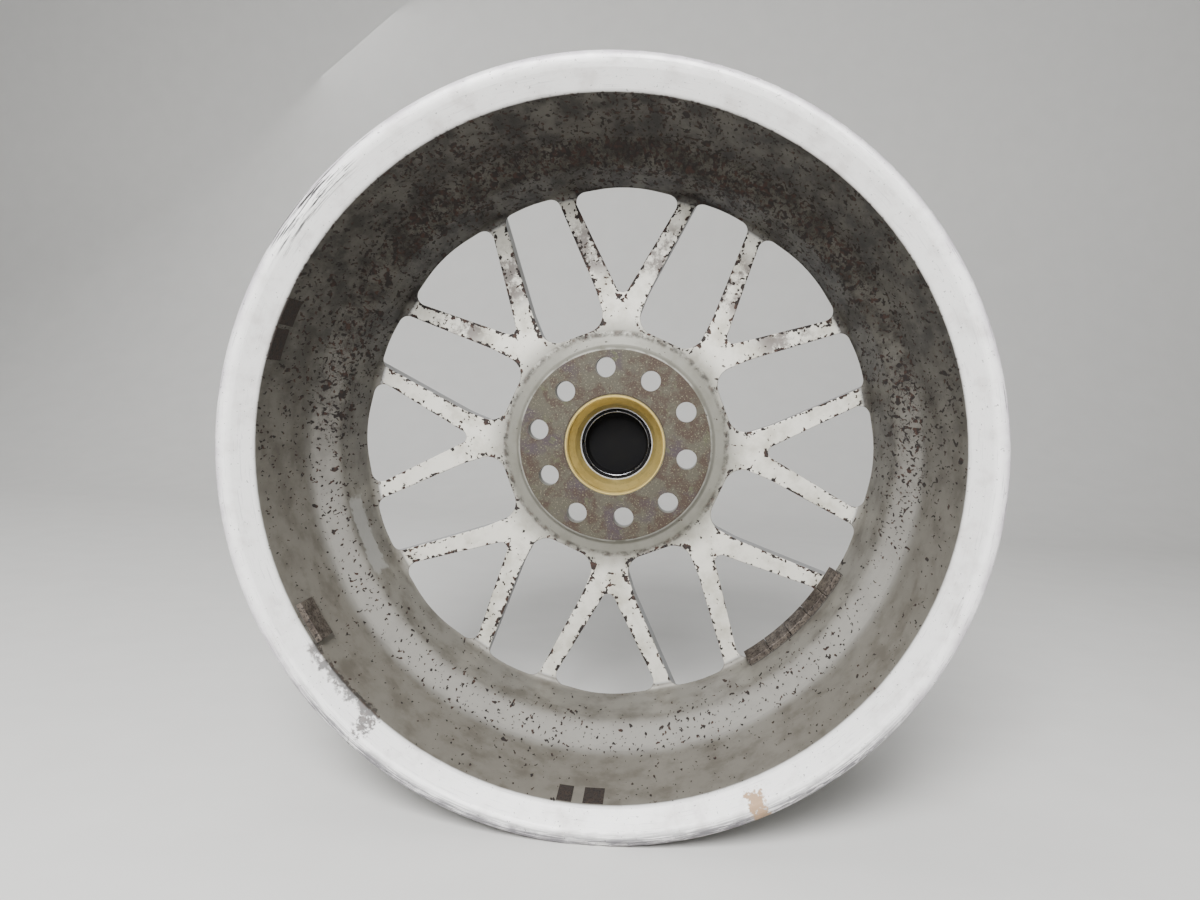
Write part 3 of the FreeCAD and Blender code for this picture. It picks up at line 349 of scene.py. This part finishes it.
    # each oxide: size of its patches in mm, detail, roughness, and the levels where it starts and is full
    oxides = (("mauveOxide", 22.0, 4.0, 0.6, 0.5, 0.66), ("greenOxide", 11.0, 5.0, 0.7, 0.56, 0.68),
              ("paleOxide", 1.3, 3.0, 0.7, 0.56, 0.7))
    for oxide, size, detail, roughness, start, full in oxides:
        patches = addNode(tree, "noise", place, perMetre(size), detail, roughness)
        pad = addNode(tree, "blend", addNode(tree, "smooth", patches, start, full), pad, hexColour(look[oxide]))
    padEdge = band(tree, radius, look["padRadius"] - 1.6, look["padRadius"] + 1.0, 0.5)
    padEdge = addNode(tree, "MULTIPLY", padEdge, addNode(tree, "smooth", smudge, 0.6, 0.45))
    padEdge = addNode(tree, "MULTIPLY", padEdge, onBack)
    colour = addNode(tree, "blend", padEdge, colour, hexColour(look["padEdge"]))
    colour = addNode(tree, "blend", onPad, colour, pad)

    # clean grey patch and brown runs left by weights that came off
    patch = addNode(tree, "MULTIPLY", markAt(tree, spot, wheelMarks["cleanPatch"], inner), inBarrel)
    colour = addNode(tree, "blend", addNode(tree, "MULTIPLY", patch, 0.5), colour,
                     hexColour(look["cleanPatch"]))
    run = addNode(tree, "MULTIPLY", markAt(tree, spot, wheelMarks["brownRun"], inner), inward)
    runShare = addNode(tree, "MULTIPLY", run, addNode(tree, "smooth",
                                                      addNode(tree, "noise", drawn, perMetre(8.0), 4.0, 0.7),
                                                      0.36, 0.48))
    drip = addNode(tree, "MULTIPLY", markAt(tree, spot, wheelMarks["drip"], inner),
                   addNode(tree, "smooth", radius, look["lipStart"], look["lipStart"] + 2.0))
    runShare = addNode(tree, "MAXIMUM", runShare, addNode(tree, "MULTIPLY", drip,
                                                          addNode(tree, "smooth",
                                                                  addNode(tree, "noise", place, perMetre(4.0),
                                                                          3.0, 0.55), 0.4, 0.5)))
    barrelSpots = addNode(tree, "MULTIPLY", barrelSpots, addNode(tree, "SUBTRACT", 1.0, patch))

    # scratches round the lip and a bruised edge low down
    around = addNode(tree, "join", addNode(tree, "MULTIPLY", radius, look["scratchAcross"]),
                     addNode(tree, "MULTIPLY", axial, look["scratchAcross"]), addNode(tree, "MULTIPLY", angle,
                                                                                      look["scratchRound"]))
    lines = addNode(tree, "noise", around, 1.0, 3.0, 0.7)
    scuff = addNode(tree, "MULTIPLY", addNode(tree, "smooth", lines, 0.60, 0.66), lipShare)
    outerEdge = addNode(tree, "MULTIPLY", addNode(tree, "smooth", radius, 241.0, 247.0), lip)
    colour = addNode(tree, "blend", addNode(tree, "MULTIPLY",
                                            addNode(tree, "MULTIPLY", outerEdge,
                                                    addNode(tree, "smooth", smudge, 0.3, 0.6)), 0.55), colour,
                     hexColour(look["lipEdge"]))
    low = addNode(tree, "smooth", height, -0.55, -0.8)
    rubbed = addNode(tree, "MULTIPLY", addNode(tree, "MULTIPLY", addNode(tree, "smooth", radius, 238.0, 244.5),
                                               low), lip)
    rubbed = addNode(tree, "MULTIPLY", rubbed, addNode(tree, "smooth",
                                                       addNode(tree, "ADD", lines,
                                                               addNode(tree, "MULTIPLY", smudge, 0.4)), 0.55,
                                                       0.75))
    colour = addNode(tree, "blend", addNode(tree, "MULTIPLY", rubbed, 0.85), colour,
                     hexColour(look["rubbedMetal"]))
    nicks = addNode(tree, "MULTIPLY", flecks(tree, place, 1.7, 0.71, 0.015, 1.5), lipShare)
    colour = addNode(tree, "blend", addNode(tree, "MULTIPLY", nicks, 0.7), colour, hexColour(look["nick"]))
    scuffShare = addNode(tree, "MULTIPLY", scuff, addNode(tree, "ADD", 0.25,
                                                          addNode(tree, "MULTIPLY", outerEdge, 0.6)))
    colour = addNode(tree, "blend", scuffShare, colour, hexColour(look["scuff"]))
    graze = band(tree, angle, 133.0, 150.0, 1.5)
    grazeShare = addNode(tree, "MULTIPLY", addNode(tree, "MULTIPLY", graze,
                                                   addNode(tree, "smooth", lines, 0.50, 0.56)),
                         addNode(tree, "MULTIPLY", addNode(tree, "smooth", radius, 234.0, 238.0), lip))
    colour = addNode(tree, "blend", grazeShare, colour, hexColour(look["graze"]))
    chip = markAt(tree, spot, wheelMarks["chip"], inner)
    colour = addNode(tree, "blend", addNode(tree, "MULTIPLY", chip,
                                            addNode(tree, "smooth", radius, 226.0, 230.0)), colour,
                     hexColour(look["chip"]))

    # corrosion over everything, with the painted groove shade at the skirt
    rust = addNode(tree, "blend", addNode(tree, "smooth", addNode(tree, "noise", place, perMetre(4.0), 3.0,
                                                                  0.55), 0.45, 0.65), hexColour(look["rust"]),
                   hexColour(look["rustWarm"]))
    frontPits = flecks(tree, place, 2.4, 0.73)
    allSpots = addNode(tree, "MAXIMUM", barrelSpots, spokeSpots)
    allSpots = addNode(tree, "MAXIMUM", allSpots, addNode(tree, "MULTIPLY", runShare, 0.8))
    allSpots = addNode(tree, "MAXIMUM", allSpots, addNode(tree, "MULTIPLY", skirtGrooveShadeAndDirt, 0.75))
    allSpots = addNode(tree, "MAXIMUM", allSpots, addNode(tree, "MULTIPLY",
                                                          addNode(tree, "MULTIPLY", frontPits, front), 0.5))
    colour = addNode(tree, "blend", allSpots, colour, rust)
    tree.links.new(colour, shader.inputs["Base Color"])

    sheen = addNode(tree, "ADD", addNode(tree, "MULTIPLY", onPad, 0.1), addNode(tree, "MULTIPLY", front, 0.35))
    metal = addNode(tree, "MULTIPLY", addNode(tree, "SUBTRACT", 1.0, allSpots),
                    addNode(tree, "ADD", 0.2, sheen))
    tree.links.new(metal, shader.inputs["Metallic"])
    dull = addNode(tree, "ADD", addNode(tree, "MULTIPLY", allSpots, 0.3),
                   addNode(tree, "MULTIPLY", onPad, 0.12))
    rough = addNode(tree, "ADD", dull, addNode(tree, "ADD", 0.42, addNode(tree, "MULTIPLY", smudge, 0.16)))
    tree.links.new(rough, shader.inputs["Roughness"])
    relief = addNode(tree, "SUBTRACT", addNode(tree, "MULTIPLY", grain, 0.12),
                     addNode(tree, "MULTIPLY", allSpots, 1.0))
    bump = addNode(tree, "bump", look["reliefStrength"], look["reliefDepth"] * mm, relief)
    tree.links.new(bump, shader.inputs["Normal"])
    return material


def makeFinish(name, look):
    # a metal, plastic or rubber with speckle, grime and fine relief
    material, tree, shader = newMaterial(name)
    place = addNode(tree, "coords").outputs["Object"]
    broad = addNode(tree, "noise", place, perMetre(look["broadSize"]), 4.0, 0.6)
    fine = addNode(tree, "noise", place, perMetre(look["fineSize"]), 3.0, 0.6)
    colour = addNode(tree, "blend", addNode(tree, "smooth", broad, 0.35, 0.68), hexColour(look["colour"]),
                     hexColour(look["second"]))
    colour = addNode(tree, "blend", addNode(tree, "smooth", fine, look["grimeFrom"], look["grimeFrom"] + 0.1),
                     colour, hexColour(look["grime"]))
    tree.links.new(colour, shader.inputs["Base Color"])
    shader.inputs["Metallic"].default_value = look["metallic"]
    shader.inputs["Specular IOR Level"].default_value = look.get("shine", 0.5)
    rough = addNode(tree, "smooth", broad, 0.3, 0.7, look["roughness"] - 0.08, look["roughness"] + 0.08)
    tree.links.new(rough, shader.inputs["Roughness"])
    bump = addNode(tree, "bump", look["relief"], 0.2 * mm, fine)
    tree.links.new(bump, shader.inputs["Normal"])
    return material


finishes = {
    # gold anodised aluminium: warm satin gold, duller where it has been handled
    "goldAnodisedAluminium": {"colour": "D8C27C", "second": "BBA564", "grime": "746538", "grimeFrom": 0.64,
                              "broadSize": 14.0, "fineSize": 2.0, "metallic": 0.7, "roughness": 0.36, "relief": 0.15},
    # drawn spring steel: bright, smooth and thin
    "drawnSpringSteel": {"colour": "77777A", "second": "5C5C60", "grime": "2B2825", "grimeFrom": 0.6,
                         "broadSize": 6.0, "fineSize": 0.8, "metallic": 1.0, "roughness": 0.22, "relief": 0.05},
    # moulded black nylon: deep black with a dusty sheen
    "mouldedBlackNylon": {"colour": "09090A", "second": "0E0E10", "grime": "2A2724", "grimeFrom": 0.76,
                          "broadSize": 9.0, "fineSize": 1.2, "metallic": 0.0, "roughness": 0.8, "relief": 0.2,
                          "shine": 0.12},
    # satin anodised aluminium: plain silver grey cap face
    "satinAnodisedAluminium": {"colour": "B7B8BB", "second": "A4A5A8", "grime": "6E6A64", "grimeFrom": 0.74,
                               "broadSize": 16.0, "fineSize": 1.5, "metallic": 0.9, "roughness": 0.36, "relief": 0.1},
    # nickel-plated brass: greyish bright metal, slightly tarnished
    "nickelPlatedBrass": {"colour": "BEBBB4", "second": "9C978C", "grime": "5B5446", "grimeFrom": 0.66,
                          "broadSize": 5.0, "fineSize": 0.8, "metallic": 1.0, "roughness": 0.3, "relief": 0.1},
    # turned brass: yellow metal
    "turnedBrass": {"colour": "C8A55A", "second": "A98443", "grime": "5B4423", "grimeFrom": 0.7,
                    "broadSize": 3.0, "fineSize": 0.6, "metallic": 1.0, "roughness": 0.32, "relief": 0.1},
    # EPDM rubber: matt black with dust in its grain
    "blackRubber": {"colour": "19191A", "second": "26251F", "grime": "4B463E", "grimeFrom": 0.68,
                    "broadSize": 6.0, "fineSize": 0.9, "metallic": 0.0, "roughness": 0.78, "relief": 0.4},
    # moulded ABS: black screw cap
    "mouldedBlackPlastic": {"colour": "161617", "second": "222224", "grime": "57524B", "grimeFrom": 0.7,
                            "broadSize": 5.0, "fineSize": 0.8, "metallic": 0.0, "roughness": 0.5, "relief": 0.2},
    # foam tape: dark grey edge with a torn cell look
    "foamTape": {"colour": "4A4742", "second": "35322E", "grime": "1E1B18", "grimeFrom": 0.55,
                 "broadSize": 3.0, "fineSize": 0.8, "metallic": 0.0, "roughness": 0.9, "relief": 0.8},
    # coated zinc weight: dull brown grey metal under brake dust
    "coatedZinc": {"colour": "5E564E", "second": "3B332D", "grime": "1C1613", "grimeFrom": 0.52,
                   "broadSize": 5.0, "fineSize": 1.4, "metallic": 0.45, "roughness": 0.5, "relief": 0.5},
    # dried adhesive foam: near black crumbs with brown dust
    "driedAdhesive": {"colour": "211A16", "second": "352A23", "grime": "0F0B0A", "grimeFrom": 0.5,
                      "broadSize": 3.0, "fineSize": 1.1, "metallic": 0.0, "roughness": 0.85, "relief": 0.9},
}

finishOfSlot = {
    "gold_anodised": "goldAnodisedAluminium",
    "spring_wire": "drawnSpringSteel",
    "black_plastic": "mouldedBlackNylon",
    "cap_face": "satinAnodisedAluminium",
    "valve_metal": "nickelPlatedBrass",
    "valve_brass": "turnedBrass",
    "seal_rubber": "blackRubber",
    "valve_cap_plastic": "mouldedBlackPlastic",
    "foam_tape": "foamTape",
    "weight_metal": "coatedZinc",
    "old_tape": "driedAdhesive",
}


def dressNodes():
    # give each CAD node the material of its slot
    made = {name: makeFinish(name, look) for name, look in finishes.items()}
    forging = makeForging(wheelLook)
    slotOfNode = {part["node"]: part["material_slot"] for part in frame["record"]["subparts"]}
    for name, piece in frame["nodes"].items():
        slot = slotOfNode[name]
        material = forging if slot == "forged_alloy" else made[finishOfSlot[slot]]
        if not piece.material_slots:
            piece.data.materials.append(material)
        for holder in piece.material_slots:
            holder.material = material


dressNodes()
print("materials on the nodes")


studio = {
    "floorColour": "D9D8D5",
    "floorTone": "E2E1DE",
    "wallDistance": 2.4,       # m behind the wheel
    "width": 12.0,
    "depth": 7.0,
    "height": 5.0,
    "bend": 1.0,
    "skyColour": "EEF1F5",
    "skyStrength": 0.12,
}


def makeStage(look):
    # one pale sheet: floor, rounded corner and wall
    floor = cadBox[0][2]
    mesh = bmesh.new()
    profile = [(-look["depth"], floor), (look["wallDistance"], floor),
               (look["wallDistance"], floor + look["height"])]
    left = [mesh.verts.new((-look["width"] / 2, y, z)) for y, z in profile]
    edges = [mesh.edges.new(pair) for pair in zip(left, left[1:])]
    grown = bmesh.ops.extrude_edge_only(mesh, edges=edges)["geom"]
    moved = [item for item in grown if isinstance(item, bmesh.types.BMVert)]
    bmesh.ops.translate(mesh, verts=moved, vec=(look["width"], 0, 0))
    corner = [edge for edge in mesh.edges if len(edge.link_faces) == 2]
    bmesh.ops.bevel(mesh, geom=corner, offset=look["bend"], offset_type="OFFSET", affect="EDGES",
                    segments=24, profile=0.5, material=-1)
    bmesh.ops.recalc_face_normals(mesh, faces=mesh.faces)
    sheet = bpy.data.meshes.new("backdrop")
    mesh.to_mesh(sheet)
    mesh.free()
    for face in sheet.polygons:
        face.use_smooth = True
    backdrop = bpy.data.objects.new("backdrop", sheet)
    bpy.context.scene.collection.objects.link(backdrop)
    material, tree, shader = newMaterial("mattPaper")  # seamless paper: flat and pale
    place = addNode(tree, "coords").outputs["Object"]
    tone = addNode(tree, "blend", addNode(tree, "noise", place, perMetre(60.0), 3.0, 0.55),
                   hexColour(look["floorColour"]), hexColour(look["floorTone"]))
    tree.links.new(tone, shader.inputs["Base Color"])
    shader.inputs["Roughness"].default_value = 0.9
    sheet.materials.append(material)


# places in m, sizes in m and powers in W
lamps = {
    "key": {"place": (-0.2, -1.75, 1.15), "size": 0.9, "power": 110.0},
    "fill": {"place": (1.6, -1.2, 0.7), "size": 1.4, "power": 5.0},
    "top": {"place": (-0.4, 0.3, 2.0), "size": 1.4, "power": 10.0},
    "back": {"place": (-1.3, 1.9, 1.5), "size": 1.2, "power": 12.0},
}


def makeLight(name, look):
    lamp = bpy.data.lights.new(name, "AREA")
    lamp.energy = look["power"]
    lamp.size = look["size"]
    holder = bpy.data.objects.new(name, lamp)
    holder.location = look["place"]
    toWheel = Vector((0, 0, 0)) - Vector(look["place"])
    holder.rotation_euler = toWheel.to_track_quat("-Z", "Y").to_euler()
    bpy.context.scene.collection.objects.link(holder)


def makeSky(look):
    world = bpy.data.worlds.new("studioSky")
    world.use_nodes = True
    bpy.context.scene.world = world
    back = world.node_tree.nodes["Background"]
    back.inputs["Color"].default_value = hexColour(look["skyColour"])
    back.inputs["Strength"].default_value = look["skyStrength"]


# the camera stands inboard, a little right of the axle and above it
view = {
    "distance": 0.5982,        # m from the inboard edge of the rim
    "right": 0.0500,
    "above": 0.0423,
    "turn": 4.73,              # degrees towards the left
    "dip": 3.55,               # degrees downwards
    "roll": 2.6,               # degrees, the camera's left side down
    "lens": 29.16,             # mm on a 36 mm wide sensor
}


def makeCamera(look):
    data = bpy.data.cameras.new("camera")
    data.lens = look["lens"]
    data.sensor_width = 36.0
    data.clip_start = 0.01
    camera = bpy.data.objects.new("camera", data)
    roll = Matrix.Rotation(math.radians(-look["roll"]), 4, "Y")
    stand = Matrix.Translation((look["right"], cadBox[0][1] - look["distance"], look["above"]))
    turn = Matrix.Rotation(math.radians(look["turn"]), 4, "Z")
    dip = Matrix.Rotation(math.radians(-look["dip"]), 4, "X")
    upright = Matrix.Rotation(math.radians(90), 4, "X")
    camera.matrix_world = roll @ stand @ turn @ dip @ upright
    bpy.context.scene.collection.objects.link(camera)
    bpy.context.scene.camera = camera


makeStage(studio)
for lampName, lampLook in lamps.items():
    makeLight(lampName, lampLook)
makeSky(studio)
makeCamera(view)
print("stage, lights and camera")
